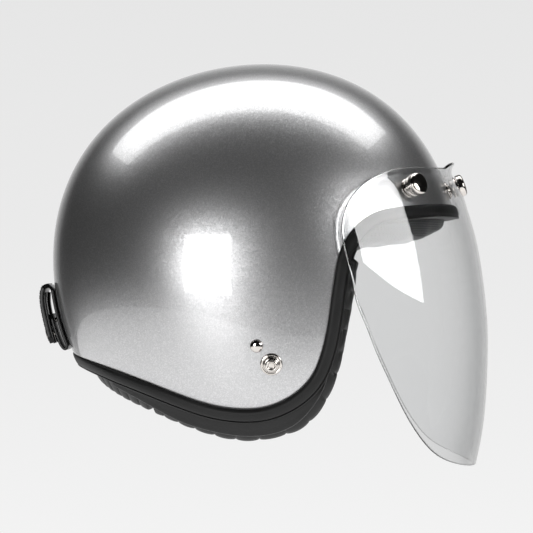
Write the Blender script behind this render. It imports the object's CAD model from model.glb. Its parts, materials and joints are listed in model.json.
import json
import math

import bmesh
import bpy
import numpy as np
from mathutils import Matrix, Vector


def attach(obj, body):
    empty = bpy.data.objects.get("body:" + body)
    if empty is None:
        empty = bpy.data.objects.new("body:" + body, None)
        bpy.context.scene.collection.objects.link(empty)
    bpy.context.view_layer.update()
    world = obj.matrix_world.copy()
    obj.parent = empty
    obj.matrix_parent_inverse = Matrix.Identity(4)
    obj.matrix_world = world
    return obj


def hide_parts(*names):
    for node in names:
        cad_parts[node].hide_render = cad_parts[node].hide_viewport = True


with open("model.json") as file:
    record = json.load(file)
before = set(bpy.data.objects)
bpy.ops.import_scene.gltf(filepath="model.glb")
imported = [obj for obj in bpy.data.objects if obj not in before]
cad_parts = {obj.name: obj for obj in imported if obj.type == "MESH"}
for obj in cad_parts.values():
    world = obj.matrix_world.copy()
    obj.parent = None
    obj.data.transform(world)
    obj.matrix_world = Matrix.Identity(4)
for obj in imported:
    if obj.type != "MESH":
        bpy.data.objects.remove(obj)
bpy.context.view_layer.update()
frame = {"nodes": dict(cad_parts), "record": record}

# Millimetres throughout, turned into metres when a mesh is made. The shapes repeat the CAD's own.
MM = 0.001
HALF = np.array([113.0, 140.0, 135.8])
TILT = math.radians(8.76)
CENTRE = np.array([0.0, -4.5, 29.7])
SQUARENESS = 0.0856
FLARE = 0.5
SHELL_WALL = 4.0
LOWER_DROP = 18.0

TRIM_TOP = [(200, -12), (125, -31.5), (108, -35.7), (89, -41), (61.6, -50), (41.4, -57.2),
            (21.6, -63.2), (2, -65.8), (-11, -65.1), (-24, -61), (-36.5, -53), (-44, -44.5),
            (-50, -31), (-54, -15), (-57, 5), (-59, 18), (-61.3, 31), (-65.5, 43),
            (-71.4, 51.6), (-77.6, 57.5), (-84.7, 61.8), (-105, 66.2), (-127, 68.2), (-143, 68),
            (-200, 66)]
SKIRT_LOW = [(200, -18), (118, -43), (97, -51), (78, -59.5), (64, -66.3), (44, -76), (24, -82),
             (4, -85.3), (-10, -85.3), (-23, -82.8), (-35, -77), (-45, -67), (-53, -54),
             (-58, -38), (-62, -20), (-66, 4), (-70, 29), (-80, 43), (-105, 52), (-200, 50)]
ROLL_LOW = [(200, -22), (118, -45), (97, -56), (80, -64), (65, -70), (44, -78.3), (23.5, -85.2),
            (3.4, -89), (-10, -88.8), (-23, -86.3), (-36.5, -81.5), (-46, -74), (-55, -61),
            (-60.5, -48), (-64, -35), (-66.5, -21.5), (-69, -8.5), (-71.3, 5), (-73, 17),
            (-75, 29), (-81, 38), (-105, 43), (-200, 45)]
BROW_LOW = [(60, -10), (-40, 20), (-70.7, 37.4), (-86.5, 40.7), (-109, 43), (-123, 46.5),
            (-135, 52.5), (-146, 57), (-200, 60)]

SHIELD_WALL = 2.0
SHIELD_WIDTH = (109.0, 120.0)
SHIELD_CENTRE = (-61.0, -4.5)
SHIELD_HEIGHTS = (-112.0, 79.0)
SHIELD_NOSE = [(-112, -154.5), (-89, -159.4), (-65.5, -162.2), (-38, -163.5), (-18, -163.6),
               (0, -162.4), (17.6, -160.4), (34.5, -157.8), (50.4, -154.3), (68.3, -149),
               (82, -143.6), (92, -138.8), (98, -141.4)]
SHIELD_OUTLINE = [(-124, 92.5), (-112, 92.3), (-98, 90.5), (-84, 84.5), (-73, 75), (-66, 62),
                  (-64.5, 46), (-67.5, 31), (-71, 18), (-73.5, 5), (-79, -9), (-86, -27),
                  (-95, -47), (-103, -64), (-117, -87), (-127, -97.5), (-139, -104),
                  (-152, -108.3)]
SHIELD_FOOT = -108.9
SHIELD_TAB = [(33, 93.1), (27, 95.0), (18, 96.8), (9, 97.3)]

BROW_STUDS = {"right": (-70.0, 78.0), "centre": (0.0, 79.0), "left": (70.0, 78.0)}
SIDE_STUD = (-18.6, -36.7)
STRAP_RIVET = (-9.1, -24.8)

SKIRT_DEPTH = 7.2         # layers are given as depth below the shell's outer skin
BROW_DEPTH = 7.4
ROLL_DEPTH = 9.8
TRIM_GRIP = 7.0           # how far the trim's top line is above the shell's edge
SHIELD_GIRTH = 110.0      # turns an angle round the shield into a length
SHIELD_ROUND = 0.9        # radius of the shield's rounded rim

STRAP_ROOT_X = 68.5
STRAP_WIDTH = 24.0
WEBBING_THICK = 1.8
HOLDER_WIDTH = 26.0
RIVET_SEAT = 6.7
SNAP_Z = -18.5
BACK_RIVET_Z = -9.0


# ---------------------------------------------------------------- the shell's surface
def dome_point(turn, rise, depth=0.0, drop=0.0):
    nx, ny, nz = np.cos(rise) * np.sin(turn), np.cos(rise) * np.cos(turn), np.sin(rise)
    full = 1 + SQUARENESS * ((nx * ny) ** 2 + (ny * nz) ** 2 + (nz * nx) ** 2)
    z = (HALF[2] - depth + np.where(nz < 0, drop, 0.0)) * nz * full
    flare = 1 + FLARE * np.maximum(0.0, -z / HALF[2]) ** 3
    x = (HALF[0] - depth) * nx * full * flare
    y = (HALF[1] - depth) * ny * full
    c, s = math.cos(TILT), math.sin(TILT)
    return np.stack([x + 0 * y, y * c + z * s, z * c - y * s], -1) + CENTRE


def outside(p, depth=0.0, drop=0.0):
    q = p - CENTRE
    c, s = math.cos(TILT), math.sin(TILT)
    y = q[..., 1] * c - q[..., 2] * s
    z = q[..., 1] * s + q[..., 2] * c
    flare = 1 + FLARE * np.maximum(0.0, -z / HALF[2]) ** 3
    u = np.stack([q[..., 0] / ((HALF[0] - depth) * flare), y / (HALF[1] - depth),
                  z / (HALF[2] - depth + np.where(z < 0, drop, 0.0))], -1)
    r = np.linalg.norm(u, axis=-1)
    a = (u / r[..., None]) ** 2
    return r - 1 - SQUARENESS * (a[..., 0] * a[..., 1] + a[..., 1] * a[..., 2] + a[..., 2] * a[..., 0])


def slope(p, depth=0.0, drop=0.0):
    step = 0.02
    return np.stack([outside(p + e, depth, drop) - outside(p - e, depth, drop)
                     for e in np.eye(3) * step], -1) / (2 * step)


def unit(v):
    return v / np.maximum(np.linalg.norm(v, axis=-1, keepdims=True), 1e-12)


def on_layer(p, depth, drop=0.0):
    """Points moved square to the surface until they lie on that layer."""
    for _ in range(5):
        g = slope(p, depth, drop)
        p = p - g * (outside(p, depth, drop) / (g * g).sum(-1))[..., None]
    return p


def skin(start, direction):
    near, far = 0.0, 300.0
    start, direction = np.array(start, float), np.array(direction, float)
    for _ in range(50):
        middle = (near + far) / 2
        if outside(start + direction * middle) > 0:
            far = middle
        else:
            near = middle
    return start + direction * near


def foot_and_axis(start, direction):
    foot = skin(start, direction)
    return foot, unit(slope(foot))


# ---------------------------------------------------------------- lines seen from the side
def smooth_line(points, per_span=10):
    """Natural cubic spline through the points."""
    p = np.array(points, float)
    t = np.concatenate([[0], np.cumsum(np.linalg.norm(np.diff(p, axis=0), axis=1))])
    n, h = len(t), np.diff(t)
    a, r = np.eye(n), np.zeros((n, p.shape[1]))
    for i in range(1, n - 1):
        a[i, i - 1:i + 2] = h[i - 1], 2 * (h[i - 1] + h[i]), h[i]
        r[i] = 6 * ((p[i + 1] - p[i]) / h[i] - (p[i] - p[i - 1]) / h[i - 1])
    m = np.linalg.solve(a, r)
    at = np.concatenate([np.linspace(t[i], t[i + 1], per_span, endpoint=False)
                         for i in range(n - 1)] + [[t[-1]]])
    i = np.clip(np.searchsorted(t, at, side="right") - 1, 0, n - 2)
    u, v, w = (t[i + 1] - at)[:, None], (at - t[i])[:, None], h[i][:, None]
    return ((m[i] * u ** 3 + m[i + 1] * v ** 3) / (6 * w) + (p[i] / w - m[i] * w / 6) * u
            + (p[i + 1] / w - m[i + 1] * w / 6) * v)


def shell_side(points, shift=0.0):
    line = smooth_line(points)
    if shift:
        t = unit(np.gradient(line, axis=0))
        line = line + shift * np.stack([-t[:, 1], t[:, 0]], -1)
    far = 260.0
    return np.vstack([line, [(-far, line[-1][1]), (-far, far), (far, far), (far, line[0][1])]])


def within(y, z, polygon):
    inside = np.zeros(np.shape(y), bool)
    for (y0, z0), (y1, z1) in zip(polygon, np.roll(polygon, -1, 0)):
        if z0 != z1:
            inside ^= ((z0 > z) != (z1 > z)) & (y < (y1 - y0) * (z - z0) / (z1 - z0) + y0)
    return inside


def edge_ring(polygon, count, depth=0.0, drop=0.0):
    """Turns and rises of even stations round a layer's edge, from the back and round by the left."""
    turn = np.linspace(0, math.pi, 2400)
    high, low = np.full(turn.shape, math.pi / 2), np.full(turn.shape, -math.pi / 2)
    for _ in range(30):
        middle = (high + low) / 2
        p = dome_point(turn, middle, depth, drop)
        keep = within(p[:, 1], p[:, 2], polygon)
        high = np.where(keep, middle, high)
        low = np.where(keep, low, middle)
    p = dome_point(turn, high, depth, drop)
    run = np.concatenate([[0], np.cumsum(np.linalg.norm(np.diff(p, axis=0), axis=1))])
    at = np.linspace(0, run[-1], count)
    turn, rise = np.interp(at, run, turn), np.interp(at, run, high)
    return (np.concatenate([turn, 2 * math.pi - turn[-2:0:-1]]),
            np.concatenate([rise, rise[-2:0:-1]]))


def stations(ring, depth=0.0, drop=0.0):
    """Points on the ring, and the direction toward the opening along the surface there."""
    p = dome_point(ring[0], ring[1], depth, drop)
    along = p
    for _ in range(3):
        along = (np.roll(along, 1, 0) + along * 2 + np.roll(along, -1, 0)) / 4
    tangent = unit(np.roll(along, -1, 0) - np.roll(along, 1, 0))
    normal = unit(slope(p, depth, drop))
    return p, unit(np.cross(normal, tangent))


def reach(p, toward, polygon, depth, drop, most=60.0):
    """How far each station's layer goes on before it meets the next line."""
    near, far = np.zeros(len(p)), np.full(len(p), most)
    for _ in range(14):
        middle = (near + far) / 2
        q = on_layer(p + toward * middle[:, None], depth, drop)
        keep = within(q[:, 1], q[:, 2], polygon)
        near, far = np.where(keep, middle, near), np.where(keep, far, middle)
    return near


# ---------------------------------------------------------------- mesh helpers
def grid_faces(rows, columns, round_rows=False, round_columns=False, start=0):
    r = np.arange(rows if round_rows else rows - 1)
    c = np.arange(columns if round_columns else columns - 1)
    r, c = np.meshgrid(r, c, indexing="ij")
    r2, c2 = (r + 1) % rows, (c + 1) % columns
    quads = np.stack([r * columns + c, r * columns + c2, r2 * columns + c2, r2 * columns + c], -1)
    return (quads.reshape(-1, 4) + start).tolist()


def make(name, points, faces, material, body="helmet", node=(), slot=None, sharp=None,
         normals=None):
    mesh = bpy.data.meshes.new(name)
    mesh.from_pydata((np.asarray(points, float) * MM).tolist(), [], faces)
    mesh.validate()
    if normals is None:
        b = bmesh.new()
        b.from_mesh(mesh)
        bmesh.ops.remove_doubles(b, verts=b.verts, dist=1e-6)
        bmesh.ops.recalc_face_normals(b, faces=b.faces)
        b.to_mesh(mesh)
        b.free()
    mesh.shade_smooth()
    if sharp:
        mesh.set_sharp_from_angle(angle=math.radians(sharp))
    if normals is not None:
        mesh.normals_split_custom_set_from_vertices(np.asarray(normals).tolist())
    obj = bpy.data.objects.new(name, mesh)
    bpy.context.collection.objects.link(obj)
    mesh.materials.append(material)
    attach(obj, body)
    if node:
        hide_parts(*([node] if isinstance(node, str) else node))
    return obj


def joined(parts):
    """Several (points, faces) as one."""
    points, faces, count = [], [], 0
    for p, f in parts:
        points.append(np.asarray(p, float).reshape(-1, 3))
        faces += [[i + count for i in face] for face in f]
        count += len(points[-1])
    return np.vstack(points), faces


def rounded(points, radius, closed=True, steps=4):
    """A profile with its corners rounded off."""
    p = [np.array(q, float) for q in points]
    out = []
    for i, q in enumerate(p):
        if not closed and i in (0, len(p) - 1):
            out.append(q)
            continue
        a, b = p[i - 1] - q, p[(i + 1) % len(p)] - q
        la, lb = np.linalg.norm(a), np.linalg.norm(b)
        cut = min(radius, 0.45 * la, 0.45 * lb)
        s, e = q + a / la * cut, q + b / lb * cut
        for k in range(steps + 1):
            t = k / steps
            out.append(s * (1 - t) ** 2 + q * 2 * t * (1 - t) + e * t ** 2)
    return np.array(out)


def lathe(profile, foot, axis, segments=72):
    """Surface of revolution: profile is (radius, height) points, closed back on itself."""
    axis = unit(np.asarray(axis, float))
    side = unit(np.cross(axis, [0.0, 0.0, 1.0] if abs(axis[2]) < 0.9 else [1.0, 0.0, 0.0]))
    other = np.cross(axis, side)
    angle = np.linspace(0, 2 * math.pi, segments, endpoint=False)
    ring = np.cos(angle)[:, None] * side + np.sin(angle)[:, None] * other
    p = (np.asarray(foot)[None, None] + axis * profile[:, 1][:, None, None]
         + ring[None] * np.maximum(profile[:, 0], 1e-3)[:, None, None])
    return p.reshape(-1, 3), grid_faces(len(profile), segments, True, True)


def sweep(centres, across, out, section, closed=False):
    """A section of (across, out) points carried along centres, with flat ends."""
    p = (centres[:, None] + across[:, None] * section[None, :, :1] + out[:, None] * section[None, :, 1:])
    count = len(section)
    faces = grid_faces(len(centres), count, closed, True)
    if not closed:
        faces += [list(range(count))[::-1], [(len(centres) - 1) * count + i for i in range(count)]]
    return p.reshape(-1, 3), faces


# ---------------------------------------------------------------- materials
def material(name):
    m = bpy.data.materials.new(name)
    m.use_nodes = True
    n, l = m.node_tree.nodes, m.node_tree.links
    shader = n["Principled BSDF"]
    where = n.new("ShaderNodeTexCoord")
    return m, n, l, shader, where.outputs["Object"]


def noise(n, l, where, scale, detail=3.0):
    t = n.new("ShaderNodeTexNoise")
    t.inputs["Scale"].default_value = scale
    t.inputs["Detail"].default_value = detail
    l.new(where, t.inputs["Vector"])
    return t.outputs["Fac"]


def ramp(n, l, value, stops):
    r = n.new("ShaderNodeValToRGB")
    while len(r.color_ramp.elements) < len(stops):
        r.color_ramp.elements.new(0.5)
    for element, (at, colour) in zip(r.color_ramp.elements, stops):
        element.position = at
        element.color = (*colour, 1) if hasattr(colour, "__len__") else (colour, colour, colour, 1)
    l.new(value, r.inputs["Fac"])
    return r.outputs["Color"]


def bump(n, l, shader, height, strength, distance, after=None):
    b = n.new("ShaderNodeBump")
    b.inputs["Strength"].default_value = strength
    b.inputs["Distance"].default_value = distance
    l.new(height, b.inputs["Height"])
    if after is not None:
        l.new(after, b.inputs["Normal"])
    l.new(b.outputs["Normal"], shader.inputs["Normal"])
    return b.outputs["Normal"]


def make_paint():
    """Metal flake: each cell is a flake with its own brightness and lean, under a clear coat."""
    m, n, l, s, where = material("silver_flake_paint")
    flakes = n.new("ShaderNodeTexVoronoi")
    flakes.inputs["Scale"].default_value = 1700.0
    l.new(where, flakes.inputs["Vector"])
    patch = noise(n, l, where, 6.0)
    grey = n.new("ShaderNodeSeparateColor")
    l.new(flakes.outputs["Color"], grey.inputs["Color"])
    tone = ramp(n, l, grey.outputs["Red"], [(0.0, (0.45, 0.45, 0.457)), (0.6, (0.50, 0.50, 0.505)),
                                            (1.0, (0.585, 0.585, 0.59))])
    soft = ramp(n, l, patch, [(0.3, (0.96, 0.96, 0.96)), (0.7, (1.0, 1.0, 1.0))])
    mix = n.new("ShaderNodeMix")
    mix.data_type = "RGBA"
    mix.blend_type = "MULTIPLY"
    mix.inputs[0].default_value = 1.0
    l.new(tone, mix.inputs[6])
    l.new(soft, mix.inputs[7])
    l.new(mix.outputs[2], s.inputs["Base Color"])
    lean = n.new("ShaderNodeVectorMath")
    lean.operation = "SUBTRACT"
    l.new(flakes.outputs["Color"], lean.inputs[0])
    lean.inputs[1].default_value = (0.5, 0.5, 0.5)
    little = n.new("ShaderNodeVectorMath")
    little.operation = "SCALE"
    l.new(lean.outputs[0], little.inputs[0])
    little.inputs["Scale"].default_value = 0.055
    normal = n.new("ShaderNodeNewGeometry")
    total = n.new("ShaderNodeVectorMath")
    total.operation = "ADD"
    l.new(normal.outputs["Normal"], total.inputs[0])
    l.new(little.outputs[0], total.inputs[1])
    flat = n.new("ShaderNodeVectorMath")
    flat.operation = "NORMALIZE"
    l.new(total.outputs[0], flat.inputs[0])
    l.new(flat.outputs[0], s.inputs["Normal"])
    s.inputs["Metallic"].default_value = 0.92
    s.inputs["Roughness"].default_value = 0.33
    s.inputs["Coat Weight"].default_value = 1.0
    s.inputs["Coat Roughness"].default_value = 0.02
    s.inputs["Coat IOR"].default_value = 1.5
    return m


def make_soft(name, dark, light, rough, grain, depth, sheen=0.0, shine=0.4):
    """Leather or rubber: fine pebbled grain over broad, faint changes of tone."""
    m, n, l, s, where = material(name)
    cells = n.new("ShaderNodeTexVoronoi")
    cells.feature = "SMOOTH_F1"
    cells.inputs["Scale"].default_value = grain
    l.new(where, cells.inputs["Vector"])
    broad = noise(n, l, where, 55.0, 5.0)
    l.new(ramp(n, l, broad, [(0.3, dark), (0.75, light)]), s.inputs["Base Color"])
    l.new(ramp(n, l, broad, [(0.2, rough - 0.07), (0.8, rough + 0.07)]), s.inputs["Roughness"])
    first = bump(n, l, s, cells.outputs["Distance"], 0.35, depth)
    bump(n, l, s, broad, 0.25, 0.0006, first)
    s.inputs["Sheen Weight"].default_value = sheen
    s.inputs["Specular IOR Level"].default_value = shine
    return m


def make_woven(name, dark, light, pitch, depth):
    """Ribs across two directions, as in webbing and knitted lining."""
    m, n, l, s, where = material(name)
    heights = []
    for direction in ("X", "Z"):
        w = n.new("ShaderNodeTexWave")
        w.bands_direction = direction
        w.inputs["Scale"].default_value = 1.0 / pitch * 0.32
        w.inputs["Distortion"].default_value = 0.6
        w.inputs["Detail Scale"].default_value = 3.0
        l.new(where, w.inputs["Vector"])
        heights.append(w.outputs["Fac"])
    product = n.new("ShaderNodeMath")
    product.operation = "MULTIPLY"
    l.new(heights[0], product.inputs[0])
    l.new(heights[1], product.inputs[1])
    l.new(ramp(n, l, product.outputs[0], [(0.0, dark), (1.0, light)]), s.inputs["Base Color"])
    first = bump(n, l, s, product.outputs[0], 0.6, depth)
    bump(n, l, s, noise(n, l, where, 90.0, 4.0), 0.3, 0.0008, first)
    s.inputs["Roughness"].default_value = 0.85
    s.inputs["Sheen Weight"].default_value = 0.25
    return m


def make_chrome():
    m, n, l, s, where = material("bright_chrome")
    smudge = noise(n, l, where, 160.0, 4.0)
    l.new(ramp(n, l, smudge, [(0.3, (0.50, 0.47, 0.44)), (0.8, (0.68, 0.65, 0.62))]), s.inputs["Base Color"])
    l.new(ramp(n, l, smudge, [(0.2, 0.05), (0.9, 0.17)]), s.inputs["Roughness"])
    s.inputs["Metallic"].default_value = 1.0
    return m


def make_clear():
    m, n, l, s, where = material("clear_polished_sheet")
    ripple = noise(n, l, where, 9.0, 1.0)
    l.new(ramp(n, l, ripple, [(0.2, (0.985, 0.992, 0.995)), (0.8, (1, 1, 1))]), s.inputs["Base Color"])
    bump(n, l, s, ripple, 0.02, 0.0006)
    s.inputs["Transmission Weight"].default_value = 1.0
    s.inputs["Roughness"].default_value = 0.0
    s.inputs["IOR"].default_value = 1.49
    return m


def make_beads():
    m, n, l, s, where = material("bead_foam")
    cells = n.new("ShaderNodeTexVoronoi")
    cells.inputs["Scale"].default_value = 330.0
    l.new(where, cells.inputs["Vector"])
    l.new(ramp(n, l, cells.outputs["Distance"], [(0.0, 0.05), (0.6, 0.02)]), s.inputs["Base Color"])
    bump(n, l, s, cells.outputs["Distance"], 0.5, 0.0006)
    s.inputs["Roughness"].default_value = 0.8
    return m


PAINT = make_paint()
RUBBER = make_soft("matte_edge_rubber", 0.005, 0.010, 0.5, 900.0, 0.00012, shine=0.3)
LEATHER = make_soft("soft_leatherette", 0.007, 0.013, 0.5, 700.0, 0.00025, 0.03, shine=0.33)
PATENT = make_soft("glossy_leather", 0.003, 0.006, 0.24, 260.0, 0.0001, shine=0.22)
LINING = make_woven("brushed_lining", (0.022, 0.023, 0.024), (0.07, 0.072, 0.075), 0.0016, 0.0004)
WEBBING = make_woven("woven_webbing", (0.008, 0.008, 0.009), (0.035, 0.035, 0.038), 0.0013, 0.0005)
CHROME = make_chrome()
CLEAR = make_clear()
BEADS = make_beads()
BY_SLOT = {"silver_paint": PAINT, "edge_rubber": RUBBER, "leatherette": LEATHER, "foam": BEADS,
           "lining_fabric": LINING, "chrome_steel": CHROME, "clear_shield": CLEAR,
           "webbing": WEBBING, "patent_leather": PATENT}
for part in frame["record"]["subparts"]:
    mesh = frame["nodes"][part["node"]].data
    mesh.materials.clear()
    mesh.materials.append(BY_SLOT[part["material_slot"]])


# ---------------------------------------------------------------- shell and trim
def build_shell():
    ring = edge_ring(shell_side(TRIM_TOP, TRIM_GRIP), 260)
    rows, columns = 120, len(ring[0])
    share = np.linspace(0, 1, rows)[1:, None]
    rise = math.pi / 2 + (ring[1][None] - math.pi / 2) * share
    points, normals, faces = [], [], []
    for depth, sign in ((0.0, 1), (SHELL_WALL, -1)):
        start = sum(len(p) for p in points)
        pole = dome_point(np.array([0.0]), np.array([math.pi / 2]), depth)
        p = np.vstack([pole, dome_point(np.broadcast_to(ring[0], rise.shape), rise, depth).reshape(-1, 3)])
        points.append(p)
        normals.append(unit(slope(p, depth)) * sign)
        quads = grid_faces(rows - 1, columns, False, True, start + 1)
        quads += [[start, start + 1 + (i + 1) % columns, start + 1 + i] for i in range(columns)]
        faces += quads if sign > 0 else [f[::-1] for f in quads]
    last = 1 + (rows - 2) * columns
    size = 1 + (rows - 1) * columns
    faces += [[last + i, last + (i + 1) % columns, size + last + (i + 1) % columns, size + last + i]
              for i in range(columns)]
    make("painted_shell", np.vstack(points), faces, PAINT, node="outer_shell",
         slot="silver_paint", normals=np.vstack(normals))


def build_trim():
    profile = rounded([(-3.9, 7.2), (0.1, 7.2), (0.1, 0.2), (1.1, 0.1), (2.5, 1.6), (3.0, 4.0),
                       (3.0, 6.6), (2.2, 8.2), (1.2, 9.0), (-1.5, 9.3), (-5.4, 9.2), (-6.9, 8.0),
                       (-7.0, 4.0), (-6.6, 0.8), (-5.4, 0.1), (-4.1, 0.4)], 0.7, steps=3)
    p, toward = stations(edge_ring(shell_side(TRIM_TOP), 300))
    flush = (1 - 0.65 * np.clip((p[:, 1] - 85) / 30, 0, 1))[:, None]

    def proud(out):
        """The moulding lies closer to the shell round the back."""
        return np.where(out > 0, out * flush, out * np.ones_like(flush))

    q = p[:, None] + toward[:, None] * profile[None, :, 1:]
    q = on_layer(q, -proud(profile[None, :, 0]))
    make("edge_trim_moulding", q.reshape(-1, 3), grid_faces(len(p), len(profile), True, True),
         RUBBER, node="edge_trim", slot="edge_rubber")
    bead = rounded([(2.4, 8.15), (2.75, 8.5), (2.55, 9.15), (1.9, 9.35), (1.2, 9.1), (1.2, 8.5)], 0.3)
    q = p[:, None] + toward[:, None] * bead[None, :, 1:]
    q = on_layer(q, -proud(bead[None, :, 0]))
    make("edge_trim_bead", q.reshape(-1, 3), grid_faces(len(p), len(bead), True, True), RUBBER,
         slot="edge_rubber")


def hanging_band(line, count, section, depth, drop, choose):
    """Strips that hang from the trim down to a line. section(width, station) gives (out, down) points."""
    p, toward = stations(edge_ring(shell_side(TRIM_TOP), count))
    base = on_layer(p, depth, drop)
    width = reach(base, toward, shell_side(line), depth, drop)
    keep = choose(base)
    start = int(np.argmin(keep)) if not keep.all() else 0
    order = (np.arange(len(p)) + start) % len(p)
    runs, run = [], []
    for i in order:
        if keep[i]:
            run.append(i)
        elif run:
            runs.append(run)
            run = []
    if run:
        runs.append(run)
    parts = []
    for run in [r for r in runs if len(r) > 10]:
        along = np.concatenate([[0], np.cumsum(np.linalg.norm(np.diff(p[run], axis=0), axis=1))])
        rings = []
        for k, i in enumerate(run):
            s = section(width[i], along[k], along[-1])
            q = base[i] + toward[i] * s[:, 1:]
            rings.append(on_layer(q, depth - s[:, 0], drop))
        count = len(rings[0])
        faces = grid_faces(len(rings), count, False, True)
        faces += [list(range(count))[::-1], [(len(rings) - 1) * count + i for i in range(count)]]
        parts.append((np.vstack(rings), faces))
    return joined(parts)


def end_shrink(at, total, length=7.0):
    """From 0 at a strip's very ends to 1 a little way in, as a round end."""
    near = min(at, total - at) / length
    return math.sqrt(max(0.02, 1 - max(0.0, 1 - near) ** 2))


def build_skirt():
    def section(width, at, total):
        width = max(width, 8.6) - 0.8
        edge = rounded([(-1.8, 6.0), (-1.8, width - 0.4), (-0.2, width), (0.6, width - 1.2),
                        (0.1, 0.6 * width + 3.5), (0.0, 6.0)], 0.5, steps=3)
        return edge

    band = hanging_band(SKIRT_LOW, 260, section, SKIRT_DEPTH, LOWER_DROP,
                        lambda b: (b[:, 2] < -10) & (b[:, 1] > -56) & (b[:, 1] < 92))
    make("skirt_band", *band, LEATHER, node="liner_skirt", slot="leatherette", sharp=60)


PLEAT = 13.0


def roll_section(width, at, total, thick=15.0):
    """Padded tube with a pinched seam every PLEAT."""
    seam = abs(math.sin(math.pi * at / PLEAT)) ** 0.22
    ends = end_shrink(at, total, 4.0)
    puff = (2.1 * seam - 1.6) * ends
    width = max(width, 11.0) + 1.5 - 0.9 * (1 - seam)
    low = 8.0 + (width - 8.0) * ends
    outline = [(-1.5, 5.0), (0.1 + puff * 0.3, 8.6), (0.2 + puff, 0.45 * low + 5), (-0.8 + puff, low - 2.6),
               (-3.6, low + puff * 0.3), (-8.0, low + 0.4 + puff * 0.3), (-12.5, low - 0.9),
               (-thick + 1.0 - puff * 0.5, low - 5.5), (-thick - puff, 0.5 * low), (-thick, 2.0),
               (-thick + 3.0, -3.0), (-8.0, -1.0)]
    loop = np.array(outline)
    smooth = []
    for i in range(len(loop)):
        a, b, c, d = loop[i - 1], loop[i], loop[(i + 1) % len(loop)], loop[(i + 2) % len(loop)]
        for t in (0.0, 0.333, 0.667):
            smooth.append(0.5 * (2 * b + (c - a) * t + (2 * a - 5 * b + 4 * c - d) * t * t
                                 + (3 * b - a - 3 * c + d) * t ** 3))
    return np.array(smooth)


def build_rolls():
    rules = {"pleated_roll_right": lambda b: (b[:, 0] < 0) & (b[:, 1] < 61.5) & (b[:, 2] < 38),
             "pleated_roll_left": lambda b: (b[:, 0] > 0) & (b[:, 1] < 61.5) & (b[:, 2] < 38),
             "neck_roll": lambda b: (b[:, 1] > 62.3) & (b[:, 2] < 0)}
    for node, rule in rules.items():
        band = hanging_band(ROLL_LOW, 900, roll_section, ROLL_DEPTH, LOWER_DROP, rule)
        obj = make(node + "_cover", *band, LEATHER, node=node, slot="leatherette")


def build_brow():
    rng = np.random.default_rng(4)
    phase = rng.uniform(0, 6.28, 6)

    def section(width, at, total):
        width = max(width, 10.0)
        ends = end_shrink(at, total, 12.0)
        low = 9.0 + (width - 9.0) * ends
        fold = 0.7 * math.sin(at / 8.0 + phase[0]) + 0.5 * math.sin(at / 3.7 + phase[1])
        tuck = 0.5 * math.sin(at / 5.1 + phase[2])
        outline = [(-1.0, 2.0), (-0.6, 9.0), (-1.0 + fold * 0.6, low - 5.0), (-2.8 + fold, low - 1.2 + tuck),
                   (-7.0, low + tuck), (-14.0 + fold, low - 0.4 + tuck), (-21.0, low - 1.5 - tuck),
                   (-26.5 + fold * 0.5, low - 5.0), (-28.6, low - 12.0), (-28.6, -12.0), (-27.5, -26.5),
                   (-21.0, -27.2), (-20.4, -10.0), (-19.6, 0.0), (-10.0, 0.6)]
        return rounded(outline, 2.0, steps=3)

    band = hanging_band(BROW_LOW, 400, section, BROW_DEPTH, 0.0, lambda b: (b[:, 2] > 39.5))
    obj = make("brow_pad_cover", *band, LINING, node="brow_pad", slot="lining_fabric")


# ---------------------------------------------------------------- shield
def at_height(table, z):
    line = smooth_line([(h, v) for h, v in table], 12)
    return np.interp(z, line[:, 0], line[:, 1])


def shield_point(angle, z):
    share = np.clip((z - SHIELD_HEIGHTS[0]) / (SHIELD_HEIGHTS[1] - SHIELD_HEIGHTS[0]), 0, 1)
    width = SHIELD_WIDTH[0] + (SHIELD_WIDTH[1] - SHIELD_WIDTH[0]) * share
    centre = SHIELD_CENTRE[0] + (SHIELD_CENTRE[1] - SHIELD_CENTRE[0]) * share
    nose = at_height(SHIELD_NOSE, z)
    return np.stack([width * np.sin(angle), centre - (centre - nose) * np.cos(angle), z + 0 * angle], -1)


def shield_angle(y, z):
    share = np.clip((z - SHIELD_HEIGHTS[0]) / (SHIELD_HEIGHTS[1] - SHIELD_HEIGHTS[0]), 0, 1)
    centre = SHIELD_CENTRE[0] + (SHIELD_CENTRE[1] - SHIELD_CENTRE[0]) * share
    nose = at_height(SHIELD_NOSE, z)
    return np.arccos(np.clip((centre - y) / (centre - nose), -1, 1))


def shield_normal(angle, z):
    step = 1e-3
    da = shield_point(angle + step, z) - shield_point(angle - step, z)
    dz = shield_point(angle, z + step) - shield_point(angle, z - step)
    return unit(np.cross(dz, da)) * -1


def shield_border():
    """(angle, z) of the shield's left border, from the foot's middle up to the tab's middle."""
    side = smooth_line(SHIELD_OUTLINE[::-1], 8)
    angle = shield_angle(side[:, 0], side[:, 1])
    tab = [(abs(math.asin(x / SHIELD_WIDTH[1])), z) for x, z in SHIELD_TAB]
    line = [(0.0, SHIELD_FOOT)] + list(zip(angle, side[:, 1])) + tab + [(0.0, 97.4)]
    line = np.array(line) * [SHIELD_GIRTH, 1.0]
    run = np.concatenate([[0], np.cumsum(np.linalg.norm(np.diff(line, axis=0), axis=1))])
    at = np.linspace(0, run[-1], 260)
    line = np.stack([np.interp(at, run, line[:, i]) for i in (0, 1)], -1)
    for _ in range(3):
        line[1:-1] = (line[:-2] + 2 * line[1:-1] + line[2:]) / 4
    return line


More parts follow.
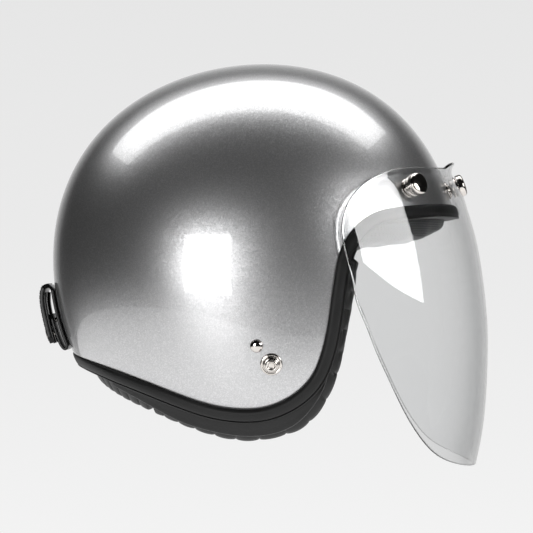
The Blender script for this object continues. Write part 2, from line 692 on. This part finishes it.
def build_shield():
    border = shield_border()
    tangent = unit(np.gradient(border, axis=0))
    outward = np.stack([tangent[:, 1], -tangent[:, 0]], -1)
    rows, columns = len(border), 81
    spread = np.sin(np.linspace(-math.pi / 2, math.pi / 2, columns))

    def inset(distance):
        line = border - outward * distance
        line[:, 0] = np.maximum(line[:, 0], 0.02)
        return line[:, 0] / SHIELD_GIRTH, line[:, 1]

    points, normals, faces = [], [], []
    for depth, sign in ((0.0, 1), (SHIELD_WALL, -1)):
        angle, z = inset(SHIELD_ROUND)
        grid_angle, grid_z = angle[:, None] * spread[None], np.repeat(z[:, None], columns, 1)
        n = shield_normal(grid_angle, grid_z)
        points.append((shield_point(grid_angle, grid_z) - n * depth).reshape(-1, 3))
        normals.append(n.reshape(-1, 3) * sign)
        quads = grid_faces(rows, columns, start=len(points[0]) * (depth > 0))
        faces += quads if sign > 0 else [f[::-1] for f in quads]
    left = np.arange(rows) * columns + columns - 1
    right = np.arange(rows) * columns
    size = rows * columns
    loops = [np.concatenate([left, right[::-1]])]
    for share in (0.2, 0.4, 0.6, 0.8):
        lean = math.pi * share
        angle, z = inset(SHIELD_ROUND * (1 - math.sin(lean)))
        angle = np.concatenate([angle, -angle[::-1]])
        z = np.concatenate([z, z[::-1]])
        n = shield_normal(angle, z)
        depth = SHIELD_WALL / 2 * (1 - math.cos(lean))
        p = shield_point(angle, z) - n * depth
        away = unit(np.cross(unit(np.roll(p, -1, 0) - np.roll(p, 1, 0)), n))
        loops.append(np.arange(len(p)) + sum(len(q) for q in points))
        points.append(p)
        normals.append(unit(n * math.cos(lean) + away * math.sin(lean)))
    loops.append(np.concatenate([left, right[::-1]]) + size)
    for a, b in zip(loops, loops[1:]):
        k = len(a)
        faces += [[int(a[i]), int(a[(i + 1) % k]), int(b[(i + 1) % k]), int(b[i])] for i in range(k)]
    p = np.vstack(points)
    mesh_faces = [f for f in faces if len(set(f)) > 2]
    make("wind_shield", p, mesh_faces, CLEAR, body="shield", node="shield", slot="clear_shield")


# ---------------------------------------------------------------- fasteners
CAP = [(0, 5.6), (2.5, 5.6), (2.5, 7.6), (7.4, 7.6), (7.6, 8.2), (7.6, 10.6), (7.3, 11.6), (6.4, 12.3),
       (4.4, 12.75), (2.0, 12.95), (0, 13.0)]
SOCKET = [(4.9, 3.5), (6.6, 3.5), (6.8, 4.1), (6.2, 4.6), (6.3, 5.3), (6.8, 5.9), (6.3, 6.5), (5.9, 8.0),
          (6.1, 8.9), (2.7, 8.9), (2.7, 5.4), (4.9, 5.4)]
STUD = [(0, -0.4), (6.6, -0.4), (6.6, 0.7), (6.1, 1.1), (5.4, 1.2), (5.2, 2.1), (4.6, 2.4), (3.6, 2.6),
        (3.3, 2.9), (2.0, 3.0), (2.0, 3.5), (2.7, 3.9), (2.7, 4.4), (2.1, 4.85), (0, 4.9)]
SIDE_SNAP = [(0, -0.4), (7.3, -0.4), (7.3, 0.5), (6.9, 1.0), (6.2, 1.2), (5.6, 1.0), (5.1, 1.5), (5.0, 2.4),
             (4.5, 2.9), (3.9, 3.0), (3.7, 4.0), (3.9, 5.2), (3.5, 5.9), (2.6, 6.0), (2.2, 5.6), (2.0, 4.9),
             (0, 4.9)]
RIVET = [(0, -0.3), (4.4, -0.3), (4.35, 0.5), (3.8, 1.6), (2.6, 2.4), (1.2, 2.75), (0, 2.8)]


def turned_piece(name, profile, foot, axis, node=(), body="helmet", corner=0.25, finish=None):
    points, faces = lathe(rounded(profile, corner, closed=False, steps=3), foot, axis)
    return make(name, points, faces, finish or CHROME, body=body, node=node, slot="chrome_steel", sharp=40)


def build_fasteners():
    for name, (x, z) in BROW_STUDS.items():
        foot, axis = foot_and_axis((x, 0, z), (0, -1, 0))
        turned_piece(f"snap_stud_{name}", STUD, foot, axis, f"brow_stud_{name}")
        turned_piece(f"snap_socket_{name}", SOCKET, foot, axis, f"shield_socket_{name}", "shield")
        turned_piece(f"snap_button_{name}", CAP, foot, axis, f"shield_cap_{name}", "shield", 0.4)
    for name, side in (("right", -1), ("left", 1)):
        foot, axis = foot_and_axis((0, *SIDE_STUD), (side, 0, 0))
        turned_piece(f"side_snap_{name}", SIDE_SNAP, foot, axis, f"side_stud_{name}")
        foot, axis = foot_and_axis((0, *STRAP_RIVET), (side, 0, 0))
        turned_piece(f"side_rivet_{name}", RIVET, foot, axis, f"strap_rivet_{name}", corner=0.5)


# ---------------------------------------------------------------- goggle strap holder
def off_back(out, z):
    return np.array([0.0, skin((0, 0, z), (0, 1, 0))[1] + out, z])


def strap_section(width, thick, corner):
    w, t = width / 2, thick / 2
    return rounded([(-w, -t), (w, -t), (w, t), (-w, t)], corner, steps=4)


def flat_strap(path, width, thick, across=(1.0, 0.0, 0.0), corner=0.7):
    """A strap along a smooth path whose ends are rounded off in plan."""
    line = smooth_line(path, 10)
    along = unit(np.gradient(line, axis=0))
    sides = np.broadcast_to(np.array(across), line.shape)
    out = unit(np.cross(along, sides))
    run = np.concatenate([[0], np.cumsum(np.linalg.norm(np.diff(line, axis=0), axis=1))])
    section = strap_section(width, thick, corner)
    p, faces = sweep(line, sides, out, section)
    p = p.reshape(len(line), len(section), 3)
    for i, at in enumerate(run):
        near = min(at, run[-1] - at)
        squeeze = 1 - 0.16 * max(0.0, 1 - near / 4.5) ** 2
        middle = line[i]
        offset = p[i] - middle
        lateral = (offset @ sides[i])[:, None] * sides[i]
        p[i] = middle + offset - lateral * (1 - squeeze)
    return p.reshape(-1, 3), faces, line, out, sides


def stitches(line, out, sides, inset, lift, pitch=3.2):
    run = np.concatenate([[0], np.cumsum(np.linalg.norm(np.diff(line, axis=0), axis=1))])
    parts = []
    for at in np.arange(4.0, run[-1] - 3.0, pitch):
        place = np.array([np.interp(at, run, line[:, k]) for k in range(3)])
        i = int(np.searchsorted(run, at)) - 1
        along = unit(line[min(i + 1, len(line) - 1)] - line[i])
        for side in (-1, 1):
            centre = place + sides[i] * side * inset + out[i] * lift
            path = [centre - along * 1.1 - out[i] * 0.35, centre - along * 0.6, centre + along * 0.6,
                    centre + along * 1.1 - out[i] * 0.35]
            turns = np.linspace(0, 2 * math.pi, 6, False)
            ring = np.array([(math.cos(a), math.sin(a)) for a in turns]) * 0.28
            parts.append(sweep(np.array(path), np.tile(sides[i], (4, 1)), np.tile(out[i], (4, 1)), ring))
    return joined(parts)


def build_retainer():
    strip = [(5.6, -6), (5.6, -13), (5.6, -19), (5.7, -25), (5.4, -28), (3.6, -29.9), (1.8, -28.2),
             (1.3, -25), (1.3, -19), (1.3, -12), (1.3, -5), (1.3, 2), (1.3, 8), (1.8, 11.4), (3.4, 13.3)]
    flap = [(4.1, 13.4), (6.7, 12.6), (9.0, 8.8), (10.1, 3), (10.6, -4), (10.9, -11), (11.3, -18),
            (11.8, -26)]
    p, f, *_ = flat_strap([off_back(*q) for q in strip], HOLDER_WIDTH, 2.1)
    make("goggle_holder_strip", p, f, PATENT, node="goggle_strap", slot="patent_leather", sharp=50)
    p, f, line, out, sides = flat_strap([off_back(o - 0.5, z) for o, z in flap],
                                         HOLDER_WIDTH, 3.2)
    make("goggle_holder_flap", p, f, PATENT, body="goggle_flap", node="goggle_strap_flap",
         slot="patent_leather", sharp=50)
    rails = [flat_strap([off_back(o - 2.6, z) + [x, 0, 0] for o, z in flap[2:]], 5.0, 1.9)[:2]
             for x in (-10.4, 10.4)]
    make("goggle_holder_piping", *joined(rails), PATENT, body="goggle_flap", slot="patent_leather",
         sharp=50)
    lift = 1.7 * (1 if out[len(out) // 2][1] > 0 else -1)
    make("goggle_holder_stitching", *stitches(line, out, sides, 10.6, lift), WEBBING, body="goggle_flap",
         slot="webbing")
    axis = foot_and_axis((0, 0, BACK_RIVET_Z), (0, 1, 0))[1]
    at = off_back(RIVET_SEAT, SNAP_Z)
    turned_piece("goggle_holder_button", [(2.6, 3.4), (3.2, 3.4), (3.2, 5.7), (5.4, 5.7), (5.6, 6.1),
                                          (5.3, 6.7), (3.6, 7.25), (0, 7.4), (0, 5.0), (2.6, 5.0)],
                 at, axis, "goggle_snap_cap", "goggle_flap", 0.3)


# ---------------------------------------------------------------- chin straps and D-rings
def build_straps():
    y, z = STRAP_RIVET
    looped = [(0, 0), (0, 12), (0, 24), (0, 32), (0, 37), (1.6, 41.2), (3.6, 42.2), (5.6, 41.2),
              (7.2, 37), (6.6, 33), (4.2, 29), (2.3, 25.5), (2.0, 20), (2.0, 13)]
    path = [(-STRAP_ROOT_X + inward, y, z + up) for inward, up in looped]
    p, f, *_ = flat_strap(path, STRAP_WIDTH, WEBBING_THICK, across=(0.0, 1.0, 0.0), corner=0.5)
    make("chin_strap_short", p, f, WEBBING, body="chin_strap_right", node="chin_strap_right",
         slot="webbing", sharp=50)
    folded = [(0, 0), (0, 20), (0, 40), (0, 56), (0.4, 58.3), (1.15, 59.2), (1.9, 58.3), (2.3, 56),
              (2.3, 35), (2.3, 14), (2.7, 11.7), (3.45, 10.8), (4.2, 11.7), (4.6, 14), (4.6, 34), (4.6, 54)]
    path = [(STRAP_ROOT_X - inward, y, z + up) for inward, up in folded]
    p, f, *_ = flat_strap(path, STRAP_WIDTH, 1.7, across=(0.0, 1.0, 0.0), corner=0.5)
    make("chin_strap_long", p, f, WEBBING, body="chin_strap_left", node="chin_strap_left",
         slot="webbing", sharp=50)
    tab = rounded([(1.7, -8.0), (11.5, -8.0), (11.5, -6.2), (1.7, -6.2)], 0.5)
    for name, side in (("right", -1), ("left", 1)):
        foot, axis = foot_and_axis((0, y, z), (side, 0, 0))
        far = abs(foot[0]) - 7.4
        start = STRAP_ROOT_X + 1.4
        path = [(side * (start + (far - start) * t), y, z) for t in (0, 0.33, 0.67, 1)]
        tail = flat_strap(path, STRAP_WIDTH, 1.7, across=(0.0, 1.0, 0.0), corner=0.5)[:2]
        make(f"strap_tail_{name}_webbing", *joined([tail, lathe(tab, foot, axis)]), WEBBING,
             node=f"strap_tail_{name}", slot="webbing", sharp=50)


# ---------------------------------------------------------------- soft pads
def build_pads():
    """Inner pads are the CAD's solids, remeshed evenly and smoothed."""
    scene = bpy.context.scene
    nodes = ["cheek_pad_right", "cheek_pad_left", "ear_lining_right", "ear_lining_left", "neck_pad",
             "crown_liner"]
    for node in nodes:
        source = frame["nodes"][node]
        mesh = source.data.copy()
        mesh.name = node + "_cushion"
        obj = bpy.data.objects.new(node + "_cushion", mesh)
        scene.collection.objects.link(obj)
        obj.data.materials.clear()
        obj.data.materials.append(LINING)
        remesh = obj.modifiers.new("even", "REMESH")
        remesh.mode = "VOXEL"
        remesh.voxel_size = 0.0022 if node.startswith("ear") else 0.004
        smooth = obj.modifiers.new("soften", "LAPLACIANSMOOTH")
        smooth.iterations = 3
        smooth.lambda_factor = 0.4
        bpy.context.view_layer.update()
        done = bpy.data.meshes.new_from_object(obj.evaluated_get(bpy.context.evaluated_depsgraph_get()))
        obj.modifiers.clear()
        obj.data = done
        obj.data.shade_smooth()
        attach(obj, "helmet")
        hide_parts(node)


build_shell()
build_trim()
build_skirt()
build_rolls()
build_brow()
build_shield()
build_fasteners()
build_retainer()
build_straps()
build_pads()


# ---------------------------------------------------------------- studio
def background(n, l, low, high, stops, axis):
    """A background whose grey follows one axis of the direction looked in."""
    where = n.new("ShaderNodeTexCoord")
    split = n.new("ShaderNodeSeparateXYZ")
    l.new(where.outputs["Generated"], split.inputs[0])
    span = n.new("ShaderNodeMapRange")
    span.inputs["From Min"].default_value, span.inputs["From Max"].default_value = low, high
    l.new(split.outputs[axis], span.inputs["Value"])
    shader = n.new("ShaderNodeBackground")
    l.new(ramp(n, l, span.outputs["Result"], stops), shader.inputs["Color"])
    return shader.outputs[0]


def studio():
    """A pale backdrop to the eye; for reflections it is pale behind the helmet and dark elsewhere."""
    world = bpy.data.worlds.new("studio")
    bpy.context.scene.world = world
    world.use_nodes = True
    n, l = world.node_tree.nodes, world.node_tree.links
    n.clear()
    seen = background(n, l, -0.12, 0.12, [(0.0, 0.90), (0.5, 0.83), (1.0, 0.79)], "Z")
    lit = background(n, l, -1.0, 1.0, [(0.0, 0.008), (0.86, 0.008), (0.95, 0.5), (1.0, 0.75)], "X")
    path = n.new("ShaderNodeLightPath")
    mix = n.new("ShaderNodeMixShader")
    out = n.new("ShaderNodeOutputWorld")
    l.new(path.outputs["Is Camera Ray"], mix.inputs["Fac"])
    l.new(lit, mix.inputs[1])
    l.new(seen, mix.inputs[2])
    l.new(mix.outputs[0], out.inputs["Surface"])
    bpy.context.scene.view_settings.view_transform = "Standard"


def softbox(name, at, target, size, power):
    light = bpy.data.lights.new(name, "AREA")
    light.shape = "RECTANGLE"
    light.size, light.size_y = size
    light.energy = power
    obj = bpy.data.objects.new(name, light)
    obj.location = at
    obj.rotation_euler = (Vector(target) - Vector(at)).to_track_quat("-Z", "Y").to_euler()
    bpy.context.collection.objects.link(obj)
    return obj


def floor():
    mesh = bpy.data.meshes.new("studio_floor")
    angle = np.linspace(0, 2 * math.pi, 96, endpoint=False)
    rim = [(1.85 * math.cos(a), 1.85 * math.sin(a), -0.5) for a in angle]
    mesh.from_pydata(rim, [], [list(range(96))])
    m, n, l, s, where = material("pale_floor")
    l.new(ramp(n, l, noise(n, l, where, 3.0), [(0.3, 0.80), (0.7, 0.83)]), s.inputs["Base Color"])
    s.inputs["Roughness"].default_value = 0.7
    s.inputs["Emission Color"].default_value = (1, 1, 1, 1)
    s.inputs["Emission Strength"].default_value = 0.7
    mesh.materials.append(m)
    obj = bpy.data.objects.new("studio_floor", mesh)
    bpy.context.collection.objects.link(obj)


def camera():
    data = bpy.data.cameras.new("camera")
    data.angle = math.radians(12.35)
    data.clip_start, data.clip_end = 0.05, 60
    obj = bpy.data.objects.new("camera", data)
    aim = Vector((0.0, -0.0114, 0.0266))
    aside = math.radians(2.2)
    obj.location = aim + Vector((-math.cos(aside), -math.sin(aside), 0.0)) * 1.7
    obj.rotation_euler = (aim - obj.location).to_track_quat("-Z", "Y").to_euler()
    bpy.context.collection.objects.link(obj)
    bpy.context.scene.camera = obj


studio()
floor()
camera()
softbox("side_softbox", (-2.0, 0.69, 0.04), (-0.11, 0.02, 0.03), (0.73, 0.83), 13.0)
softbox("front_softbox", (-0.9, -1.5, 0.50), (-0.1, -0.09, 0.04), (1.1, 0.70), 16.5)
softbox("top_softbox", (0.30, 0.25, 1.6), (0.30, 0.25, 0.0), (1.1, 3.5), 36.0)
